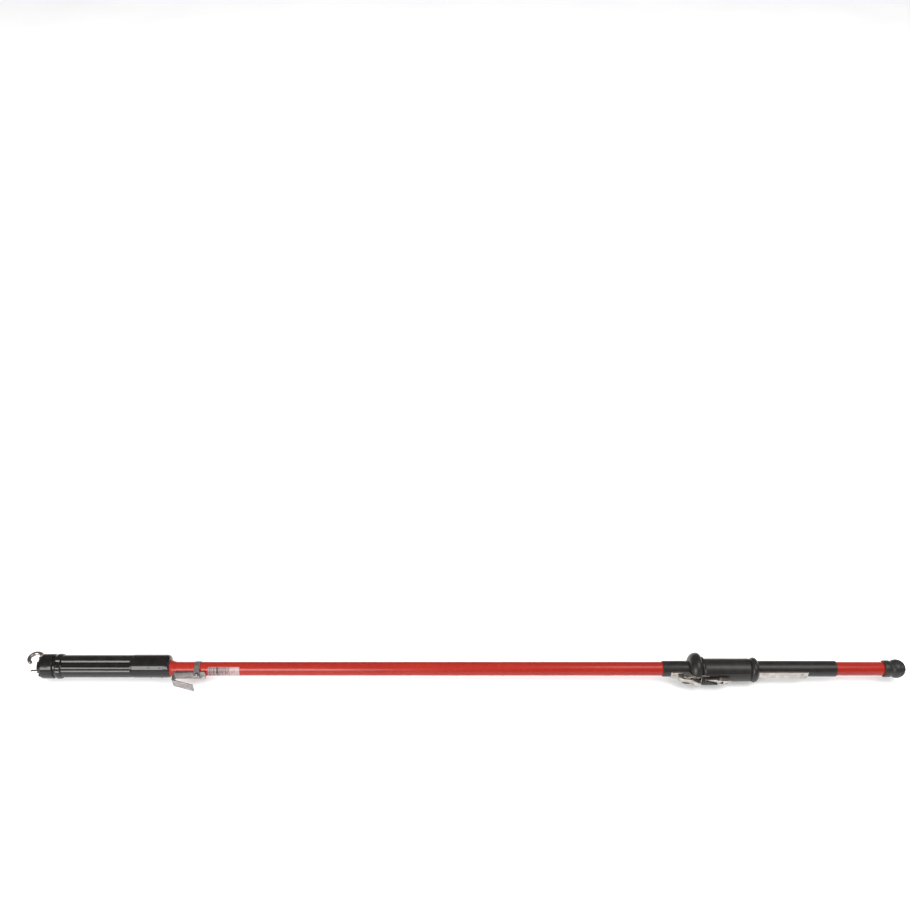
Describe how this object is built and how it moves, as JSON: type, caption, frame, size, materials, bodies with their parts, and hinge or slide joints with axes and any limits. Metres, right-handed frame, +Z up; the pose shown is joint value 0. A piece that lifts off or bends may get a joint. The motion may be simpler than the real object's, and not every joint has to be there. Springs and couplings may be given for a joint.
{
  "type": "hook clamp stick",
  "caption": "Long insulated pole with a retractable crook hook in a fluted head, worked by a sliding grip with a hand guard, latch and trigger, and a hang-up hook.",
  "frame": {"origin": "middle of the bounding box's bottom, where the hand guard's edge touches the ground, near the middle of the stick's length", "axes": "+X along the pole from the head towards the butt cap; +Y the side that the hook's bow opens from the head, with the hang-up hook, rail and latch on -Y; +Z up, across the plane of the hook"},
  "size_m": [2.0538, 0.1068, 0.0744],
  "materials": {
    "black_plastic": "satin moulded black plastic",
    "black_rubber": "dull black rubber",
    "red_fibreglass": "glossy red resin over glass fibre",
    "steel": "plain worn steel",
    "galvanised_steel": "dull grey galvanised steel",
    "nylon": "off-white nylon",
    "grey_foam": "dull grey foam",
    "label_film": "printed film"
  },
  "bodies": {
    "pole": {"head_crown": "black_plastic", "head_body": "black_plastic", "head_sleeve": "black_plastic", "eye_prong": "steel", "crown_screw_upper": "steel", "crown_screw_lower": "steel", "head_pin_front": "steel", "head_pin_rear": "steel", "head_flare": "red_fibreglass", "pole_tube": "red_fibreglass", "rod_guide_front": "nylon", "rod_guide_middle": "nylon", "rod_guide_rear": "nylon", "butt_plug": "grey_foam", "guide_tube": "black_plastic", "rail": "steel", "rail_rivet_front": "steel", "rail_rivet_rear": "steel", "hang_hook": "galvanised_steel", "hang_hook_stud": "steel", "clamp_band": "galvanised_steel", "clamp_housing": "galvanised_steel", "clamp_screw": "steel", "label": "label_film", "butt_cap": "black_rubber"},
    "slider": {"hand_guard": "black_plastic", "handle_grip": "black_plastic", "handle_rear_ring": "black_plastic", "drive_pin": "steel", "rod_coupling": "steel", "operating_rod": "red_fibreglass", "hook_coupling": "steel", "coupling_screw_front": "steel", "coupling_screw_rear": "steel", "hook": "steel", "latch_bracket": "steel", "latch_pin": "steel", "latch_spring": "steel", "bracket_screw_upper": "steel", "bracket_screw_lower": "steel", "trigger_bracket": "steel", "trigger_bracket_screw": "steel", "trigger_pin": "steel", "trigger_spring": "steel"},
    "latch": {"latch_pawl": "steel"},
    "trigger": {"trigger_lever": "steel", "trigger_pad": "black_plastic"}
  },
  "joints": [
    {"name": "handle_slide", "type": "slide", "parent": "pole", "child": "slider", "axis": [1, 0, 0], "range_m": [0, 0.1]},
    {"name": "trigger_hinge", "type": "hinge", "parent": "slider", "child": "trigger", "pos_m": [0.59, -0.03198, 0.0372], "axis": [0, 0, 1], "range_deg": [-5, 2.5], "stiffness_Nm_per_rad": 0.3},
    {"name": "latch_hinge", "type": "hinge", "parent": "slider", "child": "latch", "pos_m": [0.5145, -0.02588, 0.0372], "axis": [0, 0, 1], "range_deg": [-3, 6], "stiffness_Nm_per_rad": 0.2}
  ],
  "couplings": [
    {"joint": "latch_hinge", "follows": "trigger_hinge", "ratio": -1.2}
  ]
}
